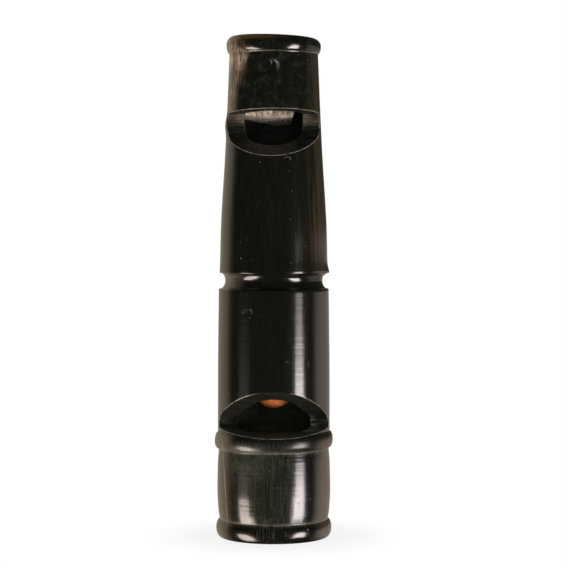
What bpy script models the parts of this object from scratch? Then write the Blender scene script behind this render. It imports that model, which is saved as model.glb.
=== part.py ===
"""Double-ended dog whistle, turned from black horn.

It stands on the mouth of its pea end, with +Z along the bore and both voicing windows facing -Y.
The slim upper end is a plain whistle. The wide lower end holds a loose cork pea and trills.
All sizes are in metres, and an outline's points are (radius, height).
"""

import math

import bmesh
import bpy
from mathutils import Vector

# Turned outside, from the foot up
LENGTH = 0.0850
FOOT_ROUNDING = 0.00088
FOOT_BEAD_RADIUS = 0.00986
FOOT_BEAD_MIDDLE = 0.0016
BARREL_OUTLINE = ((0.00924, 0.0030), (0.00945, 0.0047), (0.00961, 0.0080), (0.00949, 0.0132),
                  (0.00938, 0.0152))
COLLAR_RADIUS = 0.01004
COLLAR_MIDDLE = 0.01645
TUBE_OUTLINE = ((0.00951, 0.0180), (0.00947, 0.0300), (0.00934, 0.0422))
GROOVE_ROOT_RADIUS = 0.00828
GROOVE_MIDDLE = 0.04366
STEM_OUTLINE = ((0.00924, 0.0451), (0.00912, 0.0470), (0.00893, 0.0538), (0.00812, 0.0675), (0.00752, 0.0824))
LIP_BEAD_RADIUS = 0.00802
LIP_BEAD_MIDDLE = 0.08365
LIP_ROUNDING = 0.00135

# Bores, drilled from each mouth and ending in the drill's point
PEA_BORE_RADIUS = 0.0066
PEA_BORE_END = 0.0355
PLAIN_BORE_RADIUS = 0.0053
PLAIN_BORE_END = 0.0540
DRILL_POINT_SLOPE = math.tan(math.radians(31))

# Relief along the front of the wide bore, cut off centre. It is the roof of that end's windway and thins
# its lip.
RELIEF_RADIUS = 0.0054
RELIEF_ROOF = 0.0075
RELIEF_END = 0.0300

# Voicing windows: a sawn face, a flat in front of the axis, and a ramp that runs out through the front
# wall and leaves the lip. The sawn face falls towards the back at the slim end and rises at the wide end.
# Both inner corners are rounded by the file.
PLAIN_WINDOW = {"wall": 0.0083, "saw": 0.0726, "saw_slope": -0.095, "corner": 0.0002,
                "flat": 0.0020, "bend": 0.0030, "ramp_foot": 0.0686, "ramp_edge": 0.06455}
PEA_WINDOW = {"wall": 0.0095, "saw": 0.01775, "saw_slope": 0.17, "corner": 0.0003,
              "flat": 0.00225, "bend": 0.0019, "ramp_foot": 0.02034, "ramp_edge": 0.02538}
WINDOW_REACH = 0.0140

# Plugs, pressed in from the mouths. A flat on each is the floor of a windway along the front of the bore.
WINDWAY_HEIGHT = 0.0014
PLUG_CLEARANCE = 0.0001
PLUG_RECESS = 0.0003
PEA_PLUG_TOP = 0.0174
PLAIN_PLUG_TIP = 0.0690
# Cuts of the knife on the tip of the plain plug: a point on each, and the way that it faces
PLAIN_PLUG_CUTS = (
    ((0.0, -0.0039, 0.07225), (0.0, -0.21, -1.0)),
    ((0.00145, 0.0, 0.0704), (-0.19, 0.0, -1.0)),
    ((0.00145, 0.0, 0.0704), (0.26, 0.0, -1.0)),
    ((0.0032, 0.0, 0.0715), (0.94, 0.0, -0.34)),
)

# Pea, where it lies against the back of its chamber
PEA_RADIUS = 0.0036
PEA_GAP = 0.0003
PEA_HEIGHT = 0.0252

# Fineness of the faceted surfaces
ROUND_STEPS = 64
QUARTER_STEPS = 4
CURVE_STEPS = 3
CORNER_STEPS = 5
PEA_STEPS = 24
MERGE_DISTANCE = 1e-7
SHARP_ANGLE = math.radians(35)


def clear_scene():
    for obj in list(bpy.data.objects):
        bpy.data.objects.remove(obj, do_unlink=True)


def make_material(name, colour, roughness):
    material = bpy.data.materials.new(name)
    material.use_nodes = True
    shader = material.node_tree.nodes["Principled BSDF"]
    shader.inputs["Base Color"].default_value = (*colour, 1.0)
    shader.inputs["Roughness"].default_value = roughness
    shader.inputs["Metallic"].default_value = 0.0
    return material


def add_object(name, bm, material=None):
    """Link a finished bmesh as an object, with its faces pointing out."""
    bmesh.ops.recalc_face_normals(bm, faces=bm.faces)
    mesh = bpy.data.meshes.new(name)
    bm.to_mesh(mesh)
    bm.free()
    if material:
        mesh.materials.append(material)
        mesh.shade_smooth()
        mesh.set_sharp_from_angle(angle=SHARP_ANGLE)
    obj = bpy.data.objects.new(name, mesh)
    bpy.context.scene.collection.objects.link(obj)
    return obj


def cut_away(obj, cutter):
    boolean = obj.modifiers.new(cutter.name, 'BOOLEAN')
    boolean.operation = 'DIFFERENCE'
    boolean.solver = 'EXACT'
    boolean.object = cutter


def quarter(start, end, flat_at_start):
    """Quarter ellipse between two outline points, square to the axis at one end and along it at the other."""
    points = []
    for step in range(QUARTER_STEPS + 1):
        angle = math.pi / 2 * step / QUARTER_STEPS
        across, along = math.sin(angle), 1 - math.cos(angle)
        if not flat_at_start:
            across, along = along, across
        points.append((start[0] + (end[0] - start[0]) * across, start[1] + (end[1] - start[1]) * along))
    return points


def smooth_curve(outline):
    """Points of a smooth curve, the radius as a cubic of the height, through a few outline points."""
    slopes = []
    for index in range(len(outline)):
        before = outline[max(index - 1, 0)]
        after = outline[min(index + 1, len(outline) - 1)]
        slopes.append((after[0] - before[0]) / (after[1] - before[1]))
    points = [outline[0]]
    for index in range(len(outline) - 1):
        low, high = outline[index], outline[index + 1]
        rise = high[1] - low[1]
        for step in range(1, CURVE_STEPS + 1):
            t = step / CURVE_STEPS
            ease = t * t * (3 - 2 * t)
            bend = t * (1 - t) * rise * ((1 - t) * slopes[index] - t * slopes[index + 1])
            points.append((low[0] + (high[0] - low[0]) * ease + bend, low[1] + rise * t))
    return points


def body_outline():
    """Half section of the turned and bored body, from the tip of one bore round to the tip of the other."""
    foot_edge = (FOOT_BEAD_RADIUS - FOOT_ROUNDING, 0.0)
    foot_bead = (FOOT_BEAD_RADIUS, FOOT_BEAD_MIDDLE)
    collar = (COLLAR_RADIUS, COLLAR_MIDDLE)
    groove = (GROOVE_ROOT_RADIUS, GROOVE_MIDDLE)
    lip_bead = (LIP_BEAD_RADIUS, LIP_BEAD_MIDDLE)
    lip_edge = (LIP_BEAD_RADIUS - LIP_ROUNDING, LENGTH)
    return [
        (0.0, PEA_BORE_END + PEA_BORE_RADIUS * DRILL_POINT_SLOPE),
        (PEA_BORE_RADIUS, PEA_BORE_END),
        (PEA_BORE_RADIUS, 0.0),
        *quarter(foot_edge, foot_bead, True),
        *quarter(foot_bead, BARREL_OUTLINE[0], False),
        *smooth_curve(BARREL_OUTLINE),
        *quarter(BARREL_OUTLINE[-1], collar, True),
        *quarter(collar, TUBE_OUTLINE[0], False),
        *smooth_curve(TUBE_OUTLINE),
        *quarter(TUBE_OUTLINE[-1], groove, True),
        *quarter(groove, STEM_OUTLINE[0], False),
        *smooth_curve(STEM_OUTLINE),
        *quarter(STEM_OUTLINE[-1], lip_bead, True),
        *quarter(lip_bead, lip_edge, False),
        (PLAIN_BORE_RADIUS, LENGTH),
        (PLAIN_BORE_RADIUS, PLAIN_BORE_END),
        (0.0, PLAIN_BORE_END - PLAIN_BORE_RADIUS * DRILL_POINT_SLOPE),
    ]


def turned_body(material):
    bm = bmesh.new()
    verts = [bm.verts.new((radius, 0.0, height)) for radius, height in body_outline()]
    for pair in zip(verts, verts[1:]):
        bm.edges.new(pair)
    bmesh.ops.remove_doubles(bm, verts=verts, dist=MERGE_DISTANCE)
    bmesh.ops.spin(bm, geom=list(bm.edges) + list(bm.verts), cent=(0, 0, 0), axis=(0, 0, 1),
                   angle=math.tau, steps=ROUND_STEPS, use_merge=True)
    bmesh.ops.remove_doubles(bm, verts=bm.verts, dist=MERGE_DISTANCE)
    return add_object("horn_body", bm, material)


def round_bar(radius, bottom, top):
    bm = bmesh.new()
    bmesh.ops.create_cone(bm, cap_ends=True, segments=ROUND_STEPS, radius1=radius, radius2=radius,
                          depth=top - bottom)
    bmesh.ops.translate(bm, verts=bm.verts, vec=(0, 0, (top + bottom) / 2))
    return bm


def add_cutter(name, bm):
    cutter = add_object(name, bm)
    cutter.hide_render = True
    cutter.display_type = 'WIRE'
    return cutter


def prism_cutter(name, section, width):
    """Cutter with a (y, z) section, run the given width across the whistle."""
    bm = bmesh.new()
    face = bm.faces.new([bm.verts.new((-width / 2, y, z)) for y, z in section])
    swept = bmesh.ops.extrude_face_region(bm, geom=[face])["geom"]
    verts = [item for item in swept if isinstance(item, bmesh.types.BMVert)]
    bmesh.ops.translate(bm, verts=verts, vec=(width, 0, 0))
    return add_cutter(name, bm)


def relief_cutter():
    """Round cutter, run up from below the foot and off centre towards the front."""
    bm = round_bar(RELIEF_RADIUS, -RELIEF_END, RELIEF_END)
    bmesh.ops.translate(bm, verts=bm.verts, vec=(0, RELIEF_RADIUS - RELIEF_ROOF, 0))
    return add_cutter("relief_cutter", bm)


def rounded_corner(before, corner, after, radius):
    """Points of the arc that rounds off a corner between two neighbours in a section."""
    corner = Vector(corner)
    back = (Vector(before) - corner).normalized()
    ahead = (Vector(after) - corner).normalized()
    half_angle = back.angle(ahead) / 2
    centre = corner + (back + ahead).normalized() * radius / math.sin(half_angle)
    start = (corner + back * radius / math.tan(half_angle) - centre).normalized()
    end = (corner + ahead * radius / math.tan(half_angle) - centre).normalized()
    return [centre + start.slerp(end, step / CORNER_STEPS) * radius for step in range(CORNER_STEPS + 1)]


def window_cutter(name, window):
    """Notch of a voicing window: sawn face, rounded corner, flat, bend and ramp."""
    flat = -window["flat"]
    depth = window["wall"] - window["flat"]
    beyond = WINDOW_REACH - window["wall"]
    ramp_slope = (window["ramp_edge"] - window["ramp_foot"]) / depth
    saw_mouth = (-WINDOW_REACH, window["saw"] - window["saw_slope"] * beyond)
    saw_root = (flat, window["saw"] + window["saw_slope"] * depth)
    ramp_foot = (flat, window["ramp_foot"])
    ramp_mouth = (-WINDOW_REACH, window["ramp_edge"] + ramp_slope * beyond)
    section = [
        saw_mouth,
        *rounded_corner(saw_mouth, saw_root, ramp_foot, window["corner"]),
        *rounded_corner(saw_root, ramp_foot, ramp_mouth, window["bend"]),
        ramp_mouth,
    ]
    return prism_cutter(name, section, 2 * WINDOW_REACH)


def slice_off(bm, point, normal):
    """Cut away what lies past a plane and close the cut with a face."""
    geom = list(bm.verts) + list(bm.edges) + list(bm.faces)
    cut = bmesh.ops.bisect_plane(bm, geom=geom, plane_co=point, plane_no=normal, clear_outer=True)
    rim = [item for item in cut["geom_cut"] if isinstance(item, bmesh.types.BMEdge)]
    bmesh.ops.edgeloop_fill(bm, edges=rim)


def plug_blank(bore_radius, windway_roof, bottom, top):
    """Round plug with the flat that forms the floor of its windway."""
    bm = round_bar(bore_radius - PLUG_CLEARANCE, bottom, top)
    slice_off(bm, (0, WINDWAY_HEIGHT - windway_roof, 0), (0, -1, 0))
    return bm


def plain_end_plug(material):
    """Plug of the slim mouth. Its tip is whittled aslant and hangs a little below the window's sawn face."""
    bm = plug_blank(PLAIN_BORE_RADIUS, PLAIN_BORE_RADIUS, PLAIN_PLUG_TIP, LENGTH - PLUG_RECESS)
    for point, facing in PLAIN_PLUG_CUTS:
        slice_off(bm, point, facing)
    return add_object("plain_end_plug", bm, material)


def pea_end_plug(material):
    bm = plug_blank(PEA_BORE_RADIUS, RELIEF_ROOF, PLUG_RECESS, PEA_PLUG_TOP)
    return add_object("pea_end_plug", bm, material)


def cork_pea(material):
    """Loose ball. Its origin is its centre, which travels up and down the chamber."""
    bm = bmesh.new()
    bmesh.ops.create_uvsphere(bm, u_segments=PEA_STEPS, v_segments=PEA_STEPS // 2, radius=PEA_RADIUS)
    pea = add_object("cork_pea", bm, material)
    pea.location = (0, PEA_BORE_RADIUS - PEA_RADIUS - PEA_GAP, PEA_HEIGHT)
    return pea


def main():
    clear_scene()
    body = turned_body(make_material("black_horn", (0.012, 0.010, 0.008), 0.20))
    plain_plug = plain_end_plug(make_material("plug_wood", (0.45, 0.34, 0.28), 0.60))
    pea_plug = pea_end_plug(make_material("stained_wood", (0.030, 0.024, 0.018), 0.55))
    pea = cork_pea(make_material("cork", (0.52, 0.19, 0.05), 0.75))

    cut_away(body, relief_cutter())
    cut_away(body, window_cutter("plain_window_cutter", PLAIN_WINDOW))
    cut_away(body, window_cutter("pea_window_cutter", PEA_WINDOW))

    whistle = bpy.data.objects.new("dog_whistle", None)
    bpy.context.scene.collection.objects.link(whistle)
    for piece in (body, plain_plug, pea_plug, pea):
        piece.parent = whistle


main()
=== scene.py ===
import math

import bmesh
import bpy
from mathutils import Matrix, Vector, kdtree, noise


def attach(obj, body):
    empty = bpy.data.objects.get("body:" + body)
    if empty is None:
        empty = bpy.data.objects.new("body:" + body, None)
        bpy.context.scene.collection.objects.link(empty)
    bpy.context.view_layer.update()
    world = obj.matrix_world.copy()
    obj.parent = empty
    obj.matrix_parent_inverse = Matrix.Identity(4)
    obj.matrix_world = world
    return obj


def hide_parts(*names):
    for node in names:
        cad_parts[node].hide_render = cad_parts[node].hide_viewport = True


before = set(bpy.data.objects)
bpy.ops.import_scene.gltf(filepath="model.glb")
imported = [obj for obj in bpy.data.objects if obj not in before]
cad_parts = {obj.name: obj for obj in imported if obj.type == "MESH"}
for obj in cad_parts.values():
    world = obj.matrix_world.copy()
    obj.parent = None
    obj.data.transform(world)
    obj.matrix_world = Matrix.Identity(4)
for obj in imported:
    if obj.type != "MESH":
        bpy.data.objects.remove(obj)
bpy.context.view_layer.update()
print("frame loaded:", ", ".join(sorted(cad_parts)))

mm = 0.001  # pieces are modelled in millimetres and brought to metres when they are finished


def linearColour(hexText):
    shades = [int(hexText[place:place + 2], 16) / 255 for place in (1, 3, 5)]
    linear = [shade / 12.92 if shade <= 0.04045 else ((shade + 0.055) / 1.055) ** 2.4 for shade in shades]
    return (*linear, 1.0)


# a ramp's list gives its two ends first, then the stops between them
def addNode(tree, kind, inputs=None, ramp=None, **settings):
    node = tree.nodes.new("ShaderNode" + kind)
    for name, value in settings.items():
        setattr(node, name, value)
    for key, value in (inputs or {}).items():
        if isinstance(value, bpy.types.NodeSocket):
            tree.links.new(value, node.inputs[key])
        else:
            node.inputs[key].default_value = value
    for index, (position, hexText) in enumerate(ramp or []):
        stops = node.color_ramp.elements
        stop = stops[index] if index < 2 else stops.new(position)
        stop.position = position
        stop.color = linearColour(hexText)
    return node.outputs


def newMaterial(name):
    material = bpy.data.materials.new(name)
    material.use_nodes = True
    tree = material.node_tree
    return material, tree, tree.nodes["Principled BSDF"]


def perMm(size):
    return 1 / (size * mm)  # texture scale that gives features of this many millimetres


def howFar(tree, reading, place):
    gap = addNode(tree, "Math", {0: reading, 1: place}, operation='SUBTRACT')[0]
    return addNode(tree, "Math", {0: gap}, operation='ABSOLUTE')[0]


# where all of the named masks overlap
def allOf(tree, masks, names):
    share = masks[names[0]]
    for name in names[1:]:
        share = addNode(tree, "Math", {0: share, 1: masks[name]}, operation='MULTIPLY')[0]
    return share


# a total, with an amount added where each row's masks overlap
def addShares(tree, total, masks, rows):
    for names, amount in rows:
        share = allOf(tree, masks, names)
        total = addNode(tree, "Math", {0: share, 1: amount, 2: total}, operation='MULTIPLY_ADD')[0]
    return total


# Polished black horn: turned, then buffed on a wheel. A near-black gloss, with brown and tan fibres where
# the horn is less pigmented, a milkier fibrous foot, faint turning rings, pale pits and edges paled by use.
# Some colour is painted light: painted reflection at the left and right edges and in the groove's left,
# painted highlights below the lip, in dents and on the lower window's lip, and painted dark reflection on the
# foot.
hornFinish = {
    "tan": {"height": 81.2, "lean": 0.27, "ragged": 1.6, "paleReach": 2.4},
    "scratch": {"lean": 0.065, "aside": -7.59},
    "darkReflectionBand": 6.0,  # how far right of the middle a strip of the barrel is kept black, a painted dark reflection of the room
    "ringing": 2.8,  # how high the turning rings stand beside the fibre
    "bumpHeight": 0.004,
    "places": {  # each mask goes from 0 to 1 between two places in millimetres
        "foot": ("height", 18.0, 16.0),
        "underCollar": ("height", 17.2, 16.0),
        "belowCollar": ("height", 15.4, 14.8),
        "topOfBarrel": ("height", 8.5, 13.0),
        "overBead": ("height", 2.4, 3.2),
        "stem": ("height", 44.0, 50.0),
        "slimEnd": ("height", 63.0, 75.0),
        "belowLip": ("height", 82.3, 81.7),
        "onLip": ("height", 82.2, 82.7),
        "top": ("height", 84.0, 84.6),
        "topLeft": ("aside", 3.0, -3.0),
        "leftHalf": ("aside", 0.0, -3.0),
        "leftQuarter": ("aside", -4.2, -6.6),
        "leftEdge": ("aside", -6.3, -8.6),
        "rightHalf": ("aside", 1.5, 3.0),
        "right": ("aside", 4.5, 7.5),
        "middle": ("beside", 5.0, 1.5),
        "edges": ("beside", 6.6, 9.0),
        "front": ("depth", 0.0, -1.0),
        "onCollar": ("fromCollar", 1.7, 0.9),
        "inGroove": ("fromGroove", 1.5, 1.2),
        "offDarkReflection": ("fromDarkReflection", 0.4, 1.7),
        "onScratch": ("fromScratch", 0.12, 0.04),
        "inTan": ("tanEdge", -3.6, -5.1),
    },
    "levels": {  # or between two levels of a pattern
        "fibrous": ("fibre", 0.50, 0.66),
        "stranded": ("strand", 0.35, 0.60),
        "patchy": ("curl", 0.28, 0.58),
        "scuffed": ("smudges", 0.50, 0.62),
        "hazy": ("smudges", 0.30, 0.62),
        "smudged": ("smudges", 0.48, 0.70),
        "inPit": ("specks", 0.69, 0.77),
        "pitted": ("patches", 0.46, 0.58),
        "wornAndGlinting": ("wearAndGlint", 0.0, 1.0),
    },
    "ramps": {
        "black": [(0.30, "#0a0c08"), (0.80, "#171811"), (0.55, "#0e100b")],
        "milky": [(0.35, "#161710"), (0.72, "#24251c"), (0.52, "#1b1c15")],
        "tan": [(0.34, "#241b14"), (0.72, "#9b8a7c"), (0.46, "#453729"), (0.57, "#655548")],
    },
    "paint": [  # laid over the black in this order, each where its masks overlap
        # the milky foot leaves off a strip right of the middle, which is painted dark reflection
        (["underCollar", "overBead", "offDarkReflection"], "milky"),
        (["underCollar", "overBead", "middle", "scuffed"], "#26281f"),
        (["underCollar", "topOfBarrel", "leftHalf", "hazy"], "#34362f"),
        (["foot", "middle", "fibrous"], "#2c2d25"),
        # painted reflection: the left edge is tinted warm like the sweep that the gloss shows there
        (["leftEdge"], "#211c15"),
        # painted reflection of the low lamps in the left of the groove
        (["inGroove", "leftQuarter"], "#3a352c"),
        # painted reflection: the foot's edges and the collar's left end are painted lighter, like the sweep
        # the gloss shows
        (["foot", "edges"], "#3a332a"),
        (["onCollar", "leftEdge"], "#4a4238"),
        (["underCollar", "overBead", "front", "onScratch", "patchy"], "#6b6258"),
        (["slimEnd", "smudged"], "#21221c"),
        (["slimEnd", "inTan"], "tan"),
        (["top", "topLeft"], "#4b3726"),
        (["stem", "right", "stranded", "belowLip"], "#2e271b"),
        # pale on rims and in dusty creases, and painted highlight on the steep side of dents and the lower
        # window's lip
        (["wornAndGlinting", "patchy"], "#6e6a5e"),
        (["inPit", "pitted"], "#4b4a42"),
    ],
    "dulled": [  # what makes the polish rougher
        (["foot"], 0.02),
        (["onCollar"], 0.11),
        (["wornAndGlinting"], 0.30),
        (["inPit", "pitted"], 0.30),
    ],
    "rubbed": [  # where handling took the shine, as a share of it
        (["onLip", "right"], 1.0),
        (["inGroove", "right"], 1.0),
        (["topOfBarrel", "belowCollar"], 0.4),
        (["onCollar", "rightHalf"], 0.4),
    ],
    "ringed": [  # where the turning rings are deeper or shallower
        (["belowCollar", "overBead"], 4.4),
        (["foot"], -1.2),
        (["stem"], -2.0),
    ],
    "sunk": [(["inPit", "pitted"], -3.0)],
}


# grain that runs along the horn or round it, and blots that do neither
def hornPatterns(tree, place):
    along, curly, across = [addNode(tree, "Mapping", {"Vector": place, "Scale": stretch})[0]
                            for stretch in ((1, 1, 0.03), (1, 1, 0.22), (0.03, 0.03, 1))]
    patterns = {
        "fibre": {"Vector": along, "Scale": perMm(0.25), "Detail": 4.0, "Roughness": 0.6},
        "strand": {"Vector": along, "Scale": perMm(0.75), "Detail": 3.0, "Distortion": 0.6},
        "curl": {"Vector": curly, "Scale": perMm(0.8), "Detail": 3.0, "Distortion": 1.2},
        "rings": {"Vector": across, "Scale": perMm(0.38), "Detail": 3.0},
        "specks": {"Vector": place, "Scale": perMm(0.55), "Detail": 2.0},
        "patches": {"Vector": place, "Scale": perMm(7.0), "Detail": 1.0},
        "smudges": {"Vector": place, "Scale": perMm(1.3), "Detail": 5.0, "Roughness": 0.7},
    }
    return {name: addNode(tree, "TexNoise", inputs)[0] for name, inputs in patterns.items()}


# everything that the masks and colours read
def hornReadings(tree):
    place = addNode(tree, "TexCoord")["Object"]
    axes = addNode(tree, "SeparateXYZ", {"Vector": place})
    tan, scratch = hornFinish["tan"], hornFinish["scratch"]
    readings = hornPatterns(tree, place)
    readings["wearAndGlint"] = addNode(tree, "Attribute", attribute_name="wearAndGlint")["Fac"]
    readings["aside"], readings["depth"], readings["height"] = axes["X"], axes["Y"], axes["Z"]
    readings["beside"] = howFar(tree, axes["X"], 0.0)
    readings["fromCollar"] = howFar(tree, axes["Z"], hornBody["collar"][1] * mm)
    readings["fromGroove"] = howFar(tree, axes["Z"], hornBody["groove"][1] * mm)
    readings["fromDarkReflection"] = howFar(tree, axes["X"], hornFinish["darkReflectionBand"] * mm)

    # one pale scratch leans across the left of the barrel
    leaning = addNode(tree, "Math", {0: axes["Z"], 1: scratch["lean"], 2: axes["X"]},
                      operation='MULTIPLY_ADD')[0]
    readings["fromScratch"] = howFar(tree, leaning, scratch["aside"] * mm)

    # the tan patch reaches furthest in just below the lip, with a ragged edge
    readings["fromTan"] = howFar(tree, axes["Z"], tan["height"] * mm)
    ragged = addNode(tree, "MapRange", {"Value": readings["curl"], "To Min": -tan["ragged"] * mm,
                                        "To Max": tan["ragged"] * mm})[0]
    edge = addNode(tree, "Math", {0: axes["X"], 1: ragged}, operation='ADD')[0]
    readings["tanEdge"] = addNode(tree, "Math", {0: readings["fromTan"], 1: tan["lean"], 2: edge},
                                  operation='MULTIPLY_ADD')[0]
    return readings


def hornMasks(tree, readings):
    spans = {name: (kind, start * mm, end * mm) for name, (kind, start, end) in hornFinish["places"].items()}
    spans.update(hornFinish["levels"])
    return {name: addNode(tree, "MapRange", {"Value": readings[kind], "From Min": start, "From Max": end},
                          interpolation_type='SMOOTHSTEP')[0]
            for name, (kind, start, end) in spans.items()}


# tan streaks are painted palest just below the lip, a painted highlight on the real tan horn, and carry the
# fine fibre too
def tanStreaks(tree, readings):
    paler = addNode(tree, "MapRange", {"Value": readings["fromTan"], "To Min": 0.18, "To Max": -0.06,
                                       "From Max": hornFinish["tan"]["paleReach"] * mm})[0]
    fine = addNode(tree, "MapRange", {"Value": readings["fibre"], "From Min": 0.3, "From Max": 0.7,
                                      "To Min": -0.10, "To Max": 0.10})[0]
    streaks = addNode(tree, "Math", {0: readings["curl"], 1: paler}, operation='ADD')[0]
    return addNode(tree, "Math", {0: streaks, 1: fine}, operation='ADD')[0]


def hornColour(tree, readings, masks):
    grains = {"black": readings["fibre"], "milky": readings["fibre"], "tan": tanStreaks(tree, readings)}
    streaked = {name: addNode(tree, "ValToRGB", {"Fac": grain}, ramp=hornFinish["ramps"][name])[0]
                for name, grain in grains.items()}
    colour = streaked["black"]
    for names, paint in hornFinish["paint"]:
        share = allOf(tree, masks, names)
        over = streaked[paint] if paint in streaked else linearColour(paint)
        colour = addNode(tree, "Mix", {0: share, 6: colour, 7: over}, data_type='RGBA')[2]
    return colour


def hornRoughness(tree, readings, masks):
    polish = addNode(tree, "MapRange", {"Value": readings["fibre"], "From Min": 0.30, "From Max": 0.75,
                                        "To Min": 0.13, "To Max": 0.18})[0]
    return addShares(tree, polish, masks, hornFinish["dulled"])


def hornShine(tree, masks):
    rubbed = addShares(tree, 0.0, masks, hornFinish["rubbed"])
    return addNode(tree, "MapRange", {"Value": rubbed, "To Min": 0.5, "To Max": 0.12})[0]


def hornBump(tree, readings, masks):
    ringing = addShares(tree, hornFinish["ringing"], masks, hornFinish["ringed"])
    height = addNode(tree, "Math", {0: readings["rings"], 1: ringing, 2: readings["fibre"]},
                     operation='MULTIPLY_ADD')[0]
    height = addShares(tree, height, masks, hornFinish["sunk"])
    return addNode(tree, "Bump", {"Strength": 1.0, "Distance": hornFinish["bumpHeight"] * mm,
                                  "Height": height})[0]


def polishedHorn():
    material, tree, shader = newMaterial("polishedHorn")
    readings = hornReadings(tree)
    masks = hornMasks(tree, readings)
    tree.links.new(hornColour(tree, readings, masks), shader.inputs["Base Color"])
    tree.links.new(hornRoughness(tree, readings, masks), shader.inputs["Roughness"])
    tree.links.new(hornShine(tree, masks), shader.inputs["Specular IOR Level"])
    tree.links.new(hornBump(tree, readings, masks), shader.inputs["Normal"])
    shader.inputs["IOR"].default_value = 1.54
    return material


# Cut horn: faces left by a file, a saw or a drill and never polished. Duller and greyer, with the strokes
# across, paler where the saw left the flats of the slim end's window, and painted lighter in the bores as
# painted light in the dim chambers, most of all in the pea's bore.
cutFinishes = {
    "filedHorn": {"tones": ("#070806", "#10120d", "#2a2c25"), "stroke": 0.30, "rough": 0.42, "shine": 0.25},
    "lowerBoreGreyAndLit": {"tones": ("#22271e", "#2b3025", "#363a2d"), "stroke": 0.60, "rough": 0.70, "shine": 0.10},
    "upperBoreGreyAndLit": {"tones": ("#151912", "#1c2018", "#24281e"), "stroke": 0.60, "rough": 0.70, "shine": 0.10},
}
cutMarks = {
    "sawnTones": ("#26231c", "#463f35", "#6a6156"),
    "sawnHeights": (69.75, 71.1),
    "byBore": (6.8, 5.0),
    "tornTone": "#75766c",
    "tornAt": (5.8, -3.6, 18.9),
    "tornReach": (2.5, 1.0),
}


def toneRamp(tones):
    dark, middle, pale = tones
    return [(0.34, dark), (0.68, pale), (0.50, middle)]


def sawnFlats(tree, place, strokes, tone):
    axes = addNode(tree, "SeparateXYZ", {"Vector": place})
    outer, inner = cutMarks["byBore"]
    byBore = addNode(tree, "MapRange", {"Value": howFar(tree, axes["X"], 0.0), "From Min": outer * mm,
                                        "From Max": inner * mm, "To Min": -0.08, "To Max": 0.14})[0]
    sawStrokes = addNode(tree, "Math", {0: strokes, 1: byBore}, operation='ADD')[0]
    sawn = addNode(tree, "ValToRGB", {"Fac": sawStrokes}, ramp=toneRamp(cutMarks["sawnTones"]))[0]
    start, full = cutMarks["sawnHeights"]
    share = addNode(tree, "MapRange", {"Value": axes["Z"], "From Min": start * mm, "From Max": full * mm},
                    interpolation_type='SMOOTHSTEP')[0]
    onFlat = addNode(tree, "Attribute", attribute_name="sawn")["Fac"]
    share = addNode(tree, "Math", {0: share, 1: onFlat}, operation='MULTIPLY')[0]
    return addNode(tree, "Mix", {0: share, 6: tone, 7: sawn}, data_type='RGBA')[2]


# the saw tore a few pale fibres at the right end of the lower window's sill
def tornFibres(tree, place, strokes, tone):
    spot = Vector(cutMarks["tornAt"]) * mm
    gap = addNode(tree, "VectorMath", {0: place, 1: spot}, operation='DISTANCE')["Value"]
    start, full = cutMarks["tornReach"]
    torn = addNode(tree, "MapRange", {"Value": gap, "From Min": start * mm, "From Max": full * mm},
                   interpolation_type='SMOOTHSTEP')[0]
    ragged = addNode(tree, "MapRange", {"Value": strokes, "From Min": 0.38, "From Max": 0.58})[0]
    share = addNode(tree, "Math", {0: torn, 1: ragged}, operation='MULTIPLY')[0]
    pale = linearColour(cutMarks["tornTone"])
    return addNode(tree, "Mix", {0: share, 6: tone, 7: pale}, data_type='RGBA')[2]


def cutHorn(name):
    finish = cutFinishes[name]
    material, tree, shader = newMaterial(name)
    place = addNode(tree, "TexCoord")["Object"]
    across = addNode(tree, "Mapping", {"Vector": place, "Scale": (0.16, 1, 1)})[0]
    strokes = addNode(tree, "TexNoise", {"Vector": across, "Scale": perMm(finish["stroke"]), "Detail": 5.0,
                                         "Roughness": 0.65})[0]
    tone = addNode(tree, "ValToRGB", {"Fac": strokes}, ramp=toneRamp(finish["tones"]))[0]
    tone = sawnFlats(tree, place, strokes, tone)
    tone = tornFibres(tree, place, strokes, tone)
    bump = addNode(tree, "Bump", {"Strength": 1.0, "Distance": 0.04 * mm, "Height": strokes})[0]
    tree.links.new(tone, shader.inputs["Base Color"])
    tree.links.new(bump, shader.inputs["Normal"])
    shader.inputs["Roughness"].default_value = finish["rough"]
    shader.inputs["Specular IOR Level"].default_value = finish["shine"]
    shader.inputs["IOR"].default_value = 1.54
    return material


# Whittled beech: knife-cut plug. Pale, or darker as painted shade deep in the pea's bore; fine streaks, a dry
# sheen.
beechTones = {
    "bareBeech": ("#4b443b", "#81776a", "#c4b9aa"),
    "darkBeechAsShade": ("#4f473d", "#62594d", "#756b5d"),
}


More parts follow.
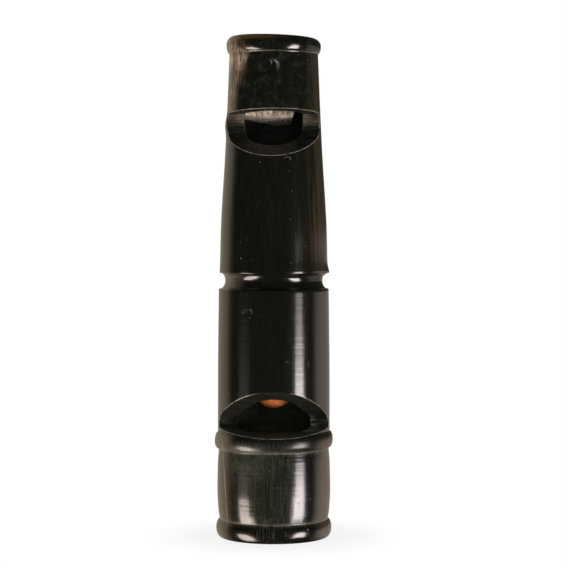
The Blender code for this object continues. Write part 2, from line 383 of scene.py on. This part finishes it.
def whittledBeech(name):
    material, tree, shader = newMaterial(name)
    place = addNode(tree, "TexCoord")["Object"]
    axes = addNode(tree, "SeparateXYZ", {"Vector": place})
    along = addNode(tree, "Mapping", {"Vector": place, "Scale": (1, 0.10, 0.06)})[0]
    grain = addNode(tree, "TexNoise", {"Vector": along, "Scale": perMm(0.32), "Detail": 5.0,
                                       "Roughness": 0.6})[0]
    # darker towards the right; painted shade at the front under the window's rim, and painted light towards
    # the back
    towardsRight = addNode(tree, "MapRange", {"Value": axes["X"], "From Min": -1.5 * mm, "From Max": 4.0 * mm,
                                       "To Min": 0.03, "To Max": -0.04})[0]
    frontShadeBackLight = addNode(tree, "MapRange", {"Value": axes["Y"], "From Min": -3.9 * mm, "From Max": -0.5 * mm,
                                      "To Min": -0.06, "To Max": 0.15})[0]
    streaks = addNode(tree, "Math", {0: grain, 1: towardsRight}, operation='ADD')[0]
    streaks = addNode(tree, "Math", {0: streaks, 1: frontShadeBackLight}, operation='ADD')[0]
    tone = addNode(tree, "ValToRGB", {"Fac": streaks}, ramp=toneRamp(beechTones[name]))[0]
    bump = addNode(tree, "Bump", {"Strength": 1.0, "Distance": 0.02 * mm, "Height": grain})[0]
    tree.links.new(tone, shader.inputs["Base Color"])
    tree.links.new(bump, shader.inputs["Normal"])
    shader.inputs["Roughness"].default_value = 0.8
    shader.inputs["Specular IOR Level"].default_value = 0.25
    return material


# Ground cork: a warm orange ball with darker crumbs, a dry matt face and painted shade on its underside.
def groundCork():
    material, tree, shader = newMaterial("groundCork")
    place = addNode(tree, "TexCoord")["Object"]
    crumbs = addNode(tree, "TexVoronoi", {"Vector": place, "Scale": perMm(0.7)})["Distance"]
    grit = addNode(tree, "TexNoise", {"Vector": place, "Scale": perMm(0.5), "Detail": 4.0})[0]
    mixed = addNode(tree, "Math", {0: crumbs, 1: 0.25, 2: grit}, operation='MULTIPLY_ADD')[0]
    tone = addNode(tree, "ValToRGB", {"Fac": mixed},
                   ramp=[(0.40, "#9c4f1d"), (0.85, "#ee9a52"), (0.60, "#d97a36")])[0]
    height = addNode(tree, "SeparateXYZ", {"Vector": place})["Z"]
    undersideShade = addNode(tree, "MapRange", {"Value": height, "From Min": 22.6 * mm, "From Max": 21.7 * mm,
                                        "To Max": 0.85})[0]
    tone = addNode(tree, "Mix", {0: undersideShade, 6: tone, 7: linearColour("#3a1c08")}, data_type='RGBA')[2]
    bump = addNode(tree, "Bump", {"Strength": 1.0, "Distance": 0.05 * mm, "Height": grit})[0]
    tree.links.new(tone, shader.inputs["Base Color"])
    tree.links.new(bump, shader.inputs["Normal"])
    shader.inputs["Roughness"].default_value = 0.75
    return material


def shareOfWay(value, start, end):
    return min(1.0, max(0.0, (value - start) / (end - start)))


# quarter ellipse between two outline points, square to the axis at one end and along it at the other
def quarterArc(start, end, squareFirst, steps):
    points = []
    for step in range(steps + 1):
        turn = math.pi / 2 * step / steps
        across, along = math.sin(turn), 1 - math.cos(turn)
        if not squareFirst:
            across, along = along, across
        points.append((start[0] + (end[0] - start[0]) * across, start[1] + (end[1] - start[1]) * along))
    return points


# a smooth curve, the radius as a cubic of the height, through a few outline points
def smoothRun(points, spacing):
    slopes = []
    for index in range(len(points)):
        before, after = points[max(index - 1, 0)], points[min(index + 1, len(points) - 1)]
        slopes.append((after[0] - before[0]) / (after[1] - before[1]))
    run = [points[0]]
    for index, (low, high) in enumerate(zip(points, points[1:])):
        rise = high[1] - low[1]
        steps = max(2, round(rise / spacing))
        for step in range(1, steps + 1):
            t = step / steps
            ease = t * t * (3 - 2 * t)
            bend = t * (1 - t) * rise * ((1 - t) * slopes[index] - t * slopes[index + 1])
            run.append((low[0] + (high[0] - low[0]) * ease + bend, low[1] + rise * t))
    return run


def roundedCorner(before, corner, after, radius, steps=14):
    corner = Vector(corner)
    back, ahead = (Vector(before) - corner).normalized(), (Vector(after) - corner).normalized()
    half = back.angle(ahead) / 2
    centre = corner + (back + ahead).normalized() * radius / math.sin(half)
    start = (corner + back * radius / math.tan(half) - centre).normalized()
    end = (corner + ahead * radius / math.tan(half) - centre).normalized()
    return [centre + start.slerp(end, step / steps) * radius for step in range(steps + 1)]


# the points of an outline near one of its corners give way to a curve
def easedCorner(outline, corner, reach, steps=6):
    far = [(Vector(point) - corner).length > reach for point in outline]
    first, last = far.index(False), len(far) - far[::-1].index(False)
    start = corner + (Vector(outline[first - 1]) - corner).normalized() * reach
    end = corner + (Vector(outline[last]) - corner).normalized() * reach
    shares = [step / steps for step in range(steps + 1)]
    curve = [start.lerp(corner, t).lerp(corner.lerp(end, t), t) for t in shares]
    return [*outline[:first], *curve, *outline[last:]]


def newObject(name, bm, materials, smoothAngle=30):
    mesh = bpy.data.meshes.new(name)
    bm.to_mesh(mesh)
    bm.free()
    for material in materials:
        mesh.materials.append(material)
    mesh.shade_smooth()
    mesh.set_sharp_from_angle(angle=math.radians(smoothAngle))
    obj = bpy.data.objects.new(name, mesh)
    bpy.context.scene.collection.objects.link(obj)
    return obj


def finishPiece(obj, body, node):
    obj.data.transform(Matrix.Scale(mm, 4))
    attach(obj, body)
    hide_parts(node)
    print(obj.name, "finished with", len(obj.data.polygons), "faces")


# the turned body in millimetres; an outline's points and each bead, groove and bore are (radius, height)
hornBody = {
    "length": 85.0,
    "footRounding": 0.88,
    "footBead": (9.86, 1.6),
    "barrel": [(9.22, 3.03), (9.46, 4.4), (9.57, 5.9), (9.66, 8.0), (9.57, 12.4), (9.50, 13.8), (9.36, 15.2)],
    "collar": (10.10, 16.45),
    "tube": [(9.55, 18.0), (9.52, 30.0), (9.38, 42.2)],
    "groove": (8.28, 43.75),
    "stem": [(9.24, 45.2), (9.16, 47.0), (8.97, 53.8), (8.15, 67.5), (7.53, 82.2)],
    "lipBead": (8.02, 83.65),
    "lipRounding": 1.35,
    "grooveLip": 0.17,
    "creaseReach": 0.22,
    "peaBore": (6.6, 35.5),
    "plainBore": (5.3, 54.0),
    "boreRounding": 0.2,
    "drillSlope": math.tan(math.radians(31)),
    "stepsRound": 216,
    "arcSteps": 9,
    "edgeSteps": 3,
    "ringSpacing": 0.30,
    "mergeGap": 1e-4,
}
relief = {"radius": 5.4, "roof": 7.5, "end": 30.0}  # off-centre cut along the front of the pea's bore
plainWindow = {"wall": 8.3, "saw": 72.6, "sawSlope": -0.095, "corner": 0.2, "flat": 2.0, "bend": 3.2,
               "rampFoot": 68.6, "rampEdge": 64.48, "rampTilt": 0.07, "tiltReach": 4.0}
peaWindow = {"wall": 9.5, "saw": 17.75, "sawSlope": 0.17, "corner": 0.3, "flat": 2.25, "bend": 1.9,
             "rampFoot": 20.34, "rampEdge": 25.38, "rampTilt": 0.0, "tiltReach": 4.0}
windowReach = 14.0  # how far the window tools stand out from the axis
polished, filed, lowerBoreGreyAndLit, upperBoreGreyAndLit = range(4)  # places of the finishes in the body's list


def bodyOutline(size):
    steps, fewSteps = size["arcSteps"], size["edgeSteps"]
    lip, inner = size["grooveLip"], size["boreRounding"]
    footEdge = (size["footBead"][0] - size["footRounding"], 0.0)
    lipEdge = (size["lipBead"][0] - size["lipRounding"], size["length"])
    tubeHead, stemFoot = size["tube"][-1], size["stem"][0]
    grooveLow = (tubeHead[0] - lip, tubeHead[1] + lip)
    grooveHigh = (stemFoot[0] - lip, stemFoot[1] - lip)
    peaRadius, peaEnd = size["peaBore"]
    plainRadius, plainEnd = size["plainBore"]
    plainMouth = (plainRadius + inner, size["length"])
    outline = [
        (0.0, peaEnd + peaRadius * size["drillSlope"]),
        (peaRadius, peaEnd),
        *quarterArc((peaRadius, inner), (peaRadius + inner, 0.0), False, fewSteps),
        *quarterArc(footEdge, size["footBead"], True, steps),
        *quarterArc(size["footBead"], size["barrel"][0], False, steps),
        *smoothRun(size["barrel"], size["ringSpacing"]),
        *quarterArc(size["barrel"][-1], size["collar"], True, steps),
        *quarterArc(size["collar"], size["tube"][0], False, steps),
        *smoothRun(size["tube"], size["ringSpacing"]),
        *quarterArc(tubeHead, grooveLow, False, fewSteps),
        *quarterArc(grooveLow, size["groove"], True, steps),
        *quarterArc(size["groove"], grooveHigh, False, steps),
        *quarterArc(grooveHigh, stemFoot, True, fewSteps),
        *smoothRun(size["stem"], size["ringSpacing"]),
        *quarterArc(size["stem"][-1], size["lipBead"], True, steps),
        *quarterArc(size["lipBead"], lipEdge, False, steps),
        *quarterArc(plainMouth, (plainRadius, size["length"] - inner), True, fewSteps),
        (plainRadius, plainEnd),
        (0.0, plainEnd - plainRadius * size["drillSlope"]),
    ]
    for corner in (size["barrel"][0], size["barrel"][-1], size["tube"][0], size["stem"][-1]):
        outline = easedCorner(outline, Vector(corner), size["creaseReach"])
    return outline


# spin lists its faces in another order each run, so they are listed afresh, each from its first vertex
def inFixedOrder(bm):
    bm.verts.index_update()
    corners = []
    for face in bm.faces:
        ranks = [vert.index for vert in face.verts]
        first = ranks.index(min(ranks))
        corners.append(ranks[first:] + ranks[:first])
    ordered = bmesh.new()
    verts = [ordered.verts.new(vert.co) for vert in bm.verts]
    for ranks in sorted(corners):
        ordered.faces.new([verts[rank] for rank in ranks])
    bm.free()
    return ordered


def turnedBlank(size):
    bm = bmesh.new()
    verts = [bm.verts.new((radius, 0.0, height)) for radius, height in bodyOutline(size)]
    for pair in zip(verts, verts[1:]):
        bm.edges.new(pair)
    bmesh.ops.remove_doubles(bm, verts=bm.verts, dist=size["mergeGap"])
    bmesh.ops.spin(bm, geom=[*bm.verts, *bm.edges], cent=(0, 0, 0), axis=(0, 0, 1),
                   angle=math.tau, steps=size["stepsRound"], use_merge=True)
    bmesh.ops.remove_doubles(bm, verts=bm.verts, dist=size["mergeGap"])
    bmesh.ops.recalc_face_normals(bm, faces=bm.faces)
    return inFixedOrder(bm)


# what hands and years left on the turned skin, in millimetres
handWork = {
    "skinFrom": 7.3,  # nothing nearer the axis is skin
    "waves": 0.012,
    "wavesPerMm": 0.22,
    "lipTilt": 0.032,
    "collarTilt": 0.022,
    "collarReach": 2.6,
    "dents": [{"aside": -0.20, "height": 79.75, "skin": 7.62, "across": 2.0, "depth": 0.42},
              {"aside": -0.75, "height": 80.2, "skin": 7.62, "across": 0.9, "depth": 0.10},
              {"aside": -4.10, "height": 38.7, "skin": 9.38, "across": 1.0, "depth": 0.02},
              {"aside": 2.40, "height": 64.2, "skin": 8.32, "across": 0.8, "depth": 0.07}],
    "dentTurn": math.radians(18),
    "dentLean": 3.5,
    "dentReach": 1.2,
    "dentCuts": 3,
    "burrs": [{"turn": 0.0, "height": 45.1, "rise": 0.9, "swing": 0.25, "out": 0.26, "above": 44.7},
              {"turn": math.pi, "height": 70.2, "rise": 1.4, "swing": 0.3, "out": 0.26, "above": 60.0}],
}


def dentSpot(dent):
    return Vector((dent["aside"], -math.sqrt(dent["skin"] ** 2 - dent["aside"] ** 2), dent["height"]))


# how far a point lies into a dent, from 0 to 1, and how far up its steep right side
def dentShare(place, dent):
    gap = (place - dentSpot(dent)) / dent["across"] * 2
    turn = handWork["dentTurn"]
    along = gap.x * math.cos(turn) + gap.z * math.sin(turn)
    aside = gap.z * math.cos(turn) - gap.x * math.sin(turn)
    steep = max(0.0, along)
    if along < 0:
        along /= handWork["dentLean"]  # drawn out to the left
    share = math.exp(-(along ** 2 + aside ** 2) ** 2) if place.y < 0 else 0.0
    return share, steep


def burrPush(place, burr):
    if place.z <= burr["above"]:
        return 0.0
    swing = math.remainder(math.atan2(place.y, place.x) - burr["turn"], math.tau) / burr["swing"]
    lift = (place.z - burr["height"]) / burr["rise"]
    return burr["out"] * math.exp(-swing ** 2 - lift ** 2)


def finerAtDents(bm):
    for dent in handWork["dents"]:
        spot, reach = dentSpot(dent), dent["across"] * handWork["dentReach"]
        near = [edge for edge in bm.edges if all((vert.co - spot).length < reach for vert in edge.verts)]
        bmesh.ops.subdivide_edges(bm, edges=near, cuts=handWork["dentCuts"], use_grid_fill=True)


# slight waves, dents and burrs, and a lip and a collar that are not quite level
def handFinish(bm, size):
    lipStart = size["stem"][-1][1]
    for vert in bm.verts:
        place = vert.co.copy()
        upLip = max(0.0, (place.z - lipStart) / (size["length"] - lipStart))
        vert.co.z -= handWork["lipTilt"] * place.x * upLip
        out = Vector((place.x, place.y, 0.0))
        if out.length < handWork["skinFrom"]:
            continue
        push = handWork["waves"] * noise.noise(place * handWork["wavesPerMm"])
        push -= sum(dent["depth"] * dentShare(place, dent)[0] for dent in handWork["dents"])
        push += sum(burrPush(place, burr) for burr in handWork["burrs"])
        vert.co += out.normalized() * push
        lean = max(0.0, 1 - abs(place.z - size["collar"][1]) / handWork["collarReach"])
        vert.co.z += handWork["collarTilt"] * place.x * lean


def windowCutter(name, window, materials):
    flat, depth = -window["flat"], window["wall"] - window["flat"]
    beyond = windowReach - window["wall"]
    rampSlope = (window["rampEdge"] - window["rampFoot"]) / depth
    sawMouth = (-windowReach, window["saw"] - window["sawSlope"] * beyond)
    sawRoot = (flat, window["saw"] + window["sawSlope"] * depth)
    rampFoot = (flat, window["rampFoot"])
    rampMouth = (-windowReach, window["rampEdge"] + rampSlope * beyond)
    outline = [sawMouth, *roundedCorner(sawMouth, sawRoot, rampFoot, window["corner"]),
               *roundedCorner(sawRoot, rampFoot, rampMouth, window["bend"]), rampMouth]
    bm = bmesh.new()
    face = bm.faces.new([bm.verts.new((-windowReach, y, z)) for y, z in outline])
    swept = bmesh.ops.extrude_face_region(bm, geom=[face])["geom"]
    moved = [item for item in swept if isinstance(item, bmesh.types.BMVert)]
    bmesh.ops.translate(bm, verts=moved, vec=(2 * windowReach, 0, 0))
    for vert in bm.verts:  # the ramp is filed a little aslant, more so towards its mouth
        share = shareOfWay(-vert.co.y, window["flat"], window["flat"] + window["tiltReach"])
        if vert.co.z < window["rampFoot"] + window["bend"]:
            vert.co.z += window["rampTilt"] * share * vert.co.x
    bmesh.ops.recalc_face_normals(bm, faces=bm.faces)
    for face in bm.faces:
        face.material_index = filed
    return newObject(name, bm, materials)


def roundBar(radius, bottom, top, steps=144):
    bm = bmesh.new()
    bmesh.ops.create_cone(bm, cap_ends=True, segments=steps, radius1=radius, radius2=radius,
                          depth=top - bottom)
    bmesh.ops.translate(bm, verts=bm.verts, vec=(0, 0, (top + bottom) / 2))
    return bm


def reliefCutter(materials):
    bm = roundBar(relief["radius"], -relief["end"], relief["end"])
    bmesh.ops.translate(bm, verts=bm.verts, vec=(0, relief["radius"] - relief["roof"], 0))
    return newObject("reliefTool", bm, materials)


def cutAway(obj, cutters):
    for cutter in cutters:
        modifier = obj.modifiers.new(cutter.name, 'BOOLEAN')
        modifier.operation = 'DIFFERENCE'
        modifier.solver = 'EXACT'
        modifier.object = cutter
    whole = obj.evaluated_get(bpy.context.evaluated_depsgraph_get())
    bm = bmesh.new()
    bm.from_mesh(whole.to_mesh())
    whole.to_mesh_clear()
    bpy.data.objects.remove(obj)
    return bm


# how the rims of the cuts are rounded, and what goes pale from use or as a painted highlight, from 0 to 1
rimWear = {
    "weldReach": 0.16,
    "sliver": 0.005,
    "rounding": 0.10,
    "roundSteps": 3,
    "lowerLipHeights": (20.5, 30.0),  # the lower window's lip is painted less pale, least of all in its middle, and lighter at its sides as a painted highlight
    "lowerLipMiddle": 0.12,
    "lowerLipSideGlint": 0.60,
    "lowerLipSides": (2.0, 4.5),
    "innerRadius": 7.2,  # so are the rims by the bores, below the upper window's flats
    "innerBelow": 69.3,
    "innerShare": 0.3,
    "dentGlintPaint": 2.2,
    "dentEdge": 0.02,
    "creases": [(82.2, 0.16, 0.5), (15.2, 0.55, 0.5), (3.15, 0.45, 0.55)],  # height, reach and paleness
    "sawnFacing": (0.88, 0.99),
    "sillBelow": 20.0,
    "sillFacing": 0.6,
    "boreFacing": -0.2,
}


def isRim(edge):
    sides = edge.link_faces
    return len(sides) == 2 and sides[0].material_index != sides[1].material_index


# weld the slivers beside a cut to its rim, so that it rounds off evenly
def weldSlivers(bm):
    rim = [vert for vert in bm.verts if any(isRim(edge) for edge in vert.link_edges)]
    tree = kdtree.KDTree(len(rim))
    for index, vert in enumerate(rim):
        tree.insert(vert.co, index)
    tree.balance()
    onRim, nearest = set(rim), {}
    for vert in bm.verts:
        if vert not in onRim:
            _, index, gap = tree.find(vert.co)
            if gap < rimWear["weldReach"]:
                nearest[vert] = rim[index]
    bmesh.ops.weld_verts(bm, targetmap=nearest)
    kept = [vert for vert in rim if vert.is_valid]
    bmesh.ops.remove_doubles(bm, verts=kept, dist=rimWear["weldReach"] / 2)
    bmesh.ops.dissolve_degenerate(bm, edges=bm.edges, dist=rimWear["sliver"])


# round the rims off as handling does
def roundRims(bm, wearAndGlint):
    rims = [edge for edge in bm.edges if isRim(edge)]
    wornAndGlinting = bmesh.ops.bevel(bm, geom=rims, offset=rimWear["rounding"], offset_type='OFFSET',
                           segments=rimWear["roundSteps"], profile=0.5, affect='EDGES',
                           clamp_overlap=False, material=-1)
    low, high = rimWear["lowerLipHeights"]
    for face in wornAndGlinting["faces"]:
        middle = face.calc_center_median()
        face[wearAndGlint] = 1.0
        if low < middle.z < high:
            toSide = shareOfWay(abs(middle.x), *rimWear["lowerLipSides"])
            face[wearAndGlint] = rimWear["lowerLipMiddle"] + (rimWear["lowerLipSideGlint"] - rimWear["lowerLipMiddle"]) * toSide
        if math.hypot(middle.x, middle.y) < rimWear["innerRadius"] and middle.z < rimWear["innerBelow"]:
            face[wearAndGlint] *= rimWear["innerShare"]
        face.material_index = polished


# the wall of a bore, or the lower window's sill, which takes the same painted light as the pea's bore
def isBored(face, middle, wearAndGlint):
    if face.material_index == filed:
        return middle.z < rimWear["sillBelow"] and face.normal.z > rimWear["sillFacing"]
    outward = (middle.x * face.normal.x + middle.y * face.normal.y) / math.hypot(middle.x, middle.y)
    return not face[wearAndGlint] and outward < rimWear["boreFacing"]


# dents are painted pale on their steep side, a painted highlight, and creases hold pale dust
def skinWearAndGlint(middle):
    wearAndGlint = 0.0
    for dent in handWork["dents"]:
        share, steep = dentShare(middle, dent)
        if share > rimWear["dentEdge"]:
            wearAndGlint = max(wearAndGlint, min(1.0, rimWear["dentGlintPaint"] * share * (1 - share) * steep))
    for height, reach, dust in rimWear["creases"]:
        wearAndGlint = max(wearAndGlint, dust * (1 - abs(middle.z - height) / reach))
    return wearAndGlint


def markFaces(bm, size, wearAndGlint, sawn):
    bm.normal_update()
    for face in bm.faces:
        middle = face.calc_center_median()
        upper = middle.z > size["groove"][1]
        if face.material_index == filed and upper:
            face[sawn] = shareOfWay(-face.normal.y, *rimWear["sawnFacing"])
        if isBored(face, middle, wearAndGlint):
            face.material_index = upperBoreGreyAndLit if upper else lowerBoreGreyAndLit
        if face.material_index == polished:
            face[wearAndGlint] = max(face[wearAndGlint], skinWearAndGlint(middle))


def buildHornBody(finishes, cutters):
    bm = turnedBlank(hornBody)
    finerAtDents(bm)
    handFinish(bm, hornBody)
    print("blank turned and finished by hand:", len(bm.faces), "faces")
    bm = cutAway(newObject("blank", bm, finishes), cutters)
    weldSlivers(bm)
    wearAndGlint, sawn = bm.faces.layers.float.new("wearAndGlint"), bm.faces.layers.float.new("sawn")
    roundRims(bm, wearAndGlint)
    markFaces(bm, hornBody, wearAndGlint, sawn)
    print("windows cut and rims worn:", len(bm.faces), "faces")
    body = newObject("turnedHornBody", bm, finishes)
    body.modifiers.new("evenNormals", 'WEIGHTED_NORMAL').keep_sharp = True
    finishPiece(body, "whistle", "horn_body")


# plug sizes, and the cuts of the knife on the plain plug's tip: a point on each and the way that it faces
plugs = {
    "plain": {"radius": 5.2, "bottom": 69.0, "top": 84.7, "flat": -3.9,
              "cuts": [((0.0, -3.9, 72.25), (0.0, -0.21, -1.0)), ((1.45, 0.0, 70.2), (-0.15, 0.0, -1.0)),
                       ((1.45, 0.0, 70.2), (0.26, 0.0, -1.0)), ((3.2, 0.0, 71.5), (0.94, 0.0, -0.34))]},
    "pea": {"radius": 6.5, "bottom": 0.3, "top": 17.4, "flat": -6.1, "cuts": []},
    "edgeWear": 0.08,
    "sharpAngle": math.radians(12),
}


def whittledPlug(plug):
    bm = roundBar(plug["radius"], plug["bottom"], plug["top"])
    for point, facing in [((0, plug["flat"], 0), (0, -1, 0)), *plug["cuts"]]:
        cut = bmesh.ops.bisect_plane(bm, geom=[*bm.verts, *bm.edges, *bm.faces], plane_co=point,
                                     plane_no=facing, clear_outer=True)
        opened = [item for item in cut["geom_cut"] if isinstance(item, bmesh.types.BMEdge)]
        bmesh.ops.edgeloop_fill(bm, edges=opened)
    bmesh.ops.recalc_face_normals(bm, faces=bm.faces)
    sharp = [edge for edge in bm.edges if edge.calc_face_angle(0) > plugs["sharpAngle"]]
    bmesh.ops.bevel(bm, geom=sharp, offset=plugs["edgeWear"], offset_type='OFFSET', segments=2, profile=0.5,
                    affect='EDGES', clamp_overlap=True, material=-1)
    return bm


def buildPlugs(paleWood, shadedWood):
    plainPlug = newObject("plainEndPlug", whittledPlug(plugs["plain"]), [paleWood])
    finishPiece(plainPlug, "whistle", "plain_end_plug")
    peaPlug = newObject("peaEndPlug", whittledPlug(plugs["pea"]), [shadedWood])
    finishPiece(peaPlug, "whistle", "pea_end_plug")


peaBall = {"radius": 3.55, "centre": (0.0, 2.7, 25.2), "fineness": 6, "lumps": 0.045, "lumpsPerMm": 0.8,
           "fineShare": 0.5, "finePerMm": 2.5, "pits": 0.12, "pitsPerMm": 0.75, "pitReach": 0.28}


def buildPea(cork):
    bm = bmesh.new()
    bmesh.ops.create_icosphere(bm, subdivisions=peaBall["fineness"], radius=peaBall["radius"])
    for vert in bm.verts:
        fine = peaBall["fineShare"] * noise.noise(vert.co * peaBall["finePerMm"])
        lump = peaBall["lumps"] * (noise.noise(vert.co * peaBall["lumpsPerMm"]) + fine)
        nearest = noise.voronoi(vert.co * peaBall["pitsPerMm"])[0][0]
        hole = max(0.0, 1 - nearest / peaBall["pitReach"])
        vert.co += vert.co.normalized() * (lump - peaBall["pits"] * hole * hole)
    bmesh.ops.translate(bm, verts=bm.verts, vec=peaBall["centre"])
    pea = newObject("corkPea", bm, [cork], smoothAngle=180)
    finishPiece(pea, "pea", "cork_pea")


finishes = [polishedHorn(), *[cutHorn(name) for name in cutFinishes]]
tools = [reliefCutter(finishes), windowCutter("plainWindowTool", plainWindow, finishes),
         windowCutter("peaWindowTool", peaWindow, finishes)]
buildHornBody(finishes, tools)
for tool in tools:
    bpy.data.objects.remove(tool)
buildPlugs(whittledBeech("bareBeech"), whittledBeech("darkBeechAsShade"))
buildPea(groundCork())

# focal length in pixels of the 568-pixel frame, the rest in millimetres and degrees
camera = {"away": 327.3, "eyeHeight": 53.5, "aside": 1.744, "downTilt": 1.815, "focalPixels": 1919.0,
          "framePixels": 568.0, "sensor": 36.0, "clipStart": 10.0}


def addCamera():
    data = bpy.data.cameras.new("camera")
    data.sensor_width = camera["sensor"]
    data.lens = camera["sensor"] * camera["focalPixels"] / camera["framePixels"]
    data.clip_start = camera["clipStart"] * mm
    eye = bpy.data.objects.new("camera", data)
    eye.location = (camera["aside"] * mm, -camera["away"] * mm, camera["eyeHeight"] * mm)
    eye.rotation_euler = (math.radians(90 - camera["downTilt"]), 0, 0)
    bpy.context.scene.collection.objects.link(eye)
    bpy.context.scene.camera = eye


# softboxes: degrees round from the camera's side and up from level, degrees across and high
lamps = {
    "rightBox": {"round": 54.5, "up": -17.5, "across": 19, "high": 24, "radiance": 18.0, "hex": "#fff2f5"},
    "rightHead": {"round": 54, "up": -3.1, "across": 14, "high": 5.2, "radiance": 5.2, "hex": "#fff2f5"},
    "rightFoot": {"round": 43, "up": -24.0, "across": 7, "high": 20, "radiance": 12.0, "hex": "#fff2f5"},
    "leftHead": {"round": -64, "up": -9.0, "across": 22, "high": 10, "radiance": 0.45, "hex": "#ffefe2"},
    "leftBox": {"round": -64, "up": -31.8, "across": 22, "high": 32.4, "radiance": 12.0, "hex": "#ffefe2"},
    "leftSheen": {"round": -65, "up": -54.0, "across": 20, "high": 12, "radiance": 8.0, "hex": "#ffefe2"},
    "leftFoot": {"round": -49, "up": -36.0, "across": 10, "high": 26, "radiance": 8.0, "hex": "#ffefe2"},
    "frontFill": {"round": 0, "up": 4.0, "across": 60, "high": 40, "radiance": 1.2, "hex": "#ffffff"},
    "topFill": {"round": 0, "up": 80.0, "across": 60, "high": 60, "radiance": 1.2, "hex": "#ffffff"},
}
lampsAway = 500.0  # millimetres from the middle of the whistle


def addLamps():
    middle = Vector((0, 0, hornBody["length"] / 2))
    for name, lamp in lamps.items():
        turn, lift = math.radians(lamp["round"]), math.radians(lamp["up"])
        side = Vector((math.sin(turn) * math.cos(lift), -math.cos(turn) * math.cos(lift), math.sin(lift)))
        data = bpy.data.lights.new(name, 'AREA')
        data.shape = 'RECTANGLE'
        data.size = 2 * lampsAway * math.tan(math.radians(lamp["across"] / 2)) * mm
        data.size_y = 2 * lampsAway * math.tan(math.radians(lamp["high"] / 2)) * mm
        data.energy = lamp["radiance"] * math.pi * data.size * data.size_y
        data.color = linearColour(lamp["hex"])[:3]
        box = bpy.data.objects.new(name, data)
        box.location = (middle + side * lampsAway) * mm
        box.rotation_euler = (-side).to_track_quat('-Z', 'Y').to_euler()
        box.visible_camera = False
        box.visible_glossy = not name.endswith("Fill")  # a fill lifts matt colours and leaves the gloss dark
        box.visible_diffuse = not name.endswith("Sheen")  # a sheen shows in the gloss alone
        bpy.context.scene.collection.objects.link(box)


# a white sweep behind the object, a dark room in front of it, and white to the camera on every side
room = {
    "dark": "#1c1c18",
    # from the camera's side round to straight behind: both ends of each ramp, then the stops between
    "left": [(0.24, "#1c1c18"), (1.0, "#afa591"), (0.375, "#7d756a"), (0.49, "#cfc3ae"),
             (0.71, "#d6cab4"), (0.87, "#c3b8a2")],
    "right": [(0.09, "#1c1c18"), (1.0, "#b0a295"), (0.16, "#7c736b"), (0.31, "#ffecdd"),
              (0.54, "#ffecdd"), (0.74, "#d1c1b6")],
    "upperRight": [(0.09, "#1c1c18"), (1.0, "#544d3f"), (0.3, "#453f33")],
}


def addRoom():
    world = bpy.data.worlds.new("studio")
    bpy.context.scene.world = world
    world.use_nodes = True
    tree = world.node_tree
    axes = addNode(tree, "SeparateXYZ", {"Vector": addNode(tree, "TexCoord")["Generated"]})
    back = addNode(tree, "MapRange", {"Value": axes["Y"], "From Min": -0.2, "From Max": 1.0})[0]
    left, right, upperRight = [addNode(tree, "ValToRGB", {"Fac": back}, ramp=room[name])[0]
                               for name in ("left", "right", "upperRight")]
    toRight = addNode(tree, "MapRange", {"Value": axes["X"], "From Min": -0.1, "From Max": 0.1})[0]
    upward = addNode(tree, "MapRange", {"Value": axes["Z"], "From Min": -0.025, "From Max": 0.025},
                     interpolation_type='SMOOTHSTEP')[0]
    steep = addNode(tree, "MapRange", {"Value": howFar(tree, axes["Z"], 0.0), "From Min": 0.35,
                                       "From Max": 0.8}, interpolation_type='SMOOTHSTEP')[0]
    right = addNode(tree, "Mix", {0: upward, 6: right, 7: upperRight}, data_type='RGBA')[2]
    sweep = addNode(tree, "Mix", {0: toRight, 6: left, 7: right}, data_type='RGBA')[2]
    dark = linearColour(room["dark"])
    sweep = addNode(tree, "Mix", {0: steep, 6: sweep, 7: dark}, data_type='RGBA')[2]
    rays = addNode(tree, "LightPath")
    shown = addNode(tree, "Mix", {0: rays["Is Camera Ray"], 6: sweep, 7: (1, 1, 1, 1)}, data_type='RGBA')[2]
    tree.links.new(shown, tree.nodes["Background"].inputs["Color"])


# pale floor that keeps a soft shadow under the object and goes over to the white of the room around it
floorSheet = {"colour": "#f4f4f4", "roughness": 0.9, "halfWidth": 3000.0, "shadowFrom": 9.0, "shadowTo": 24.0,
              "whiteUnder": 0.85}


def addFloor():
    material, tree, shader = newMaterial("paleFloor")
    shader.inputs["Base Color"].default_value = linearColour(floorSheet["colour"])
    shader.inputs["Roughness"].default_value = floorSheet["roughness"]
    place = addNode(tree, "TexCoord")["Object"]
    away = addNode(tree, "VectorMath", {0: place}, operation='LENGTH')["Value"]
    share = addNode(tree, "MapRange", {"Value": away, "From Min": floorSheet["shadowFrom"] * mm,
                                       "From Max": floorSheet["shadowTo"] * mm,
                                       "To Min": floorSheet["whiteUnder"], "To Max": 1.0},
                    interpolation_type='SMOOTHSTEP')[0]
    rays = addNode(tree, "LightPath")
    seen = addNode(tree, "Math", {0: rays["Is Camera Ray"], 1: share}, operation='MULTIPLY')[0]
    glow = addNode(tree, "Emission", {"Strength": 1.0})[0]
    both = addNode(tree, "MixShader", {0: seen, 1: shader.outputs[0], 2: glow})[0]
    tree.links.new(both, tree.nodes["Material Output"].inputs["Surface"])
    bm = bmesh.new()
    bmesh.ops.create_grid(bm, x_segments=1, y_segments=1, size=floorSheet["halfWidth"] * mm)
    floor = newObject("floor", bm, [material])
    floor.visible_glossy = False
    floor.visible_shadow = False


addCamera()
addLamps()
addRoom()
addFloor()
bpy.context.scene.view_settings.view_transform = 'Standard'
print("camera, lamps and floor set")
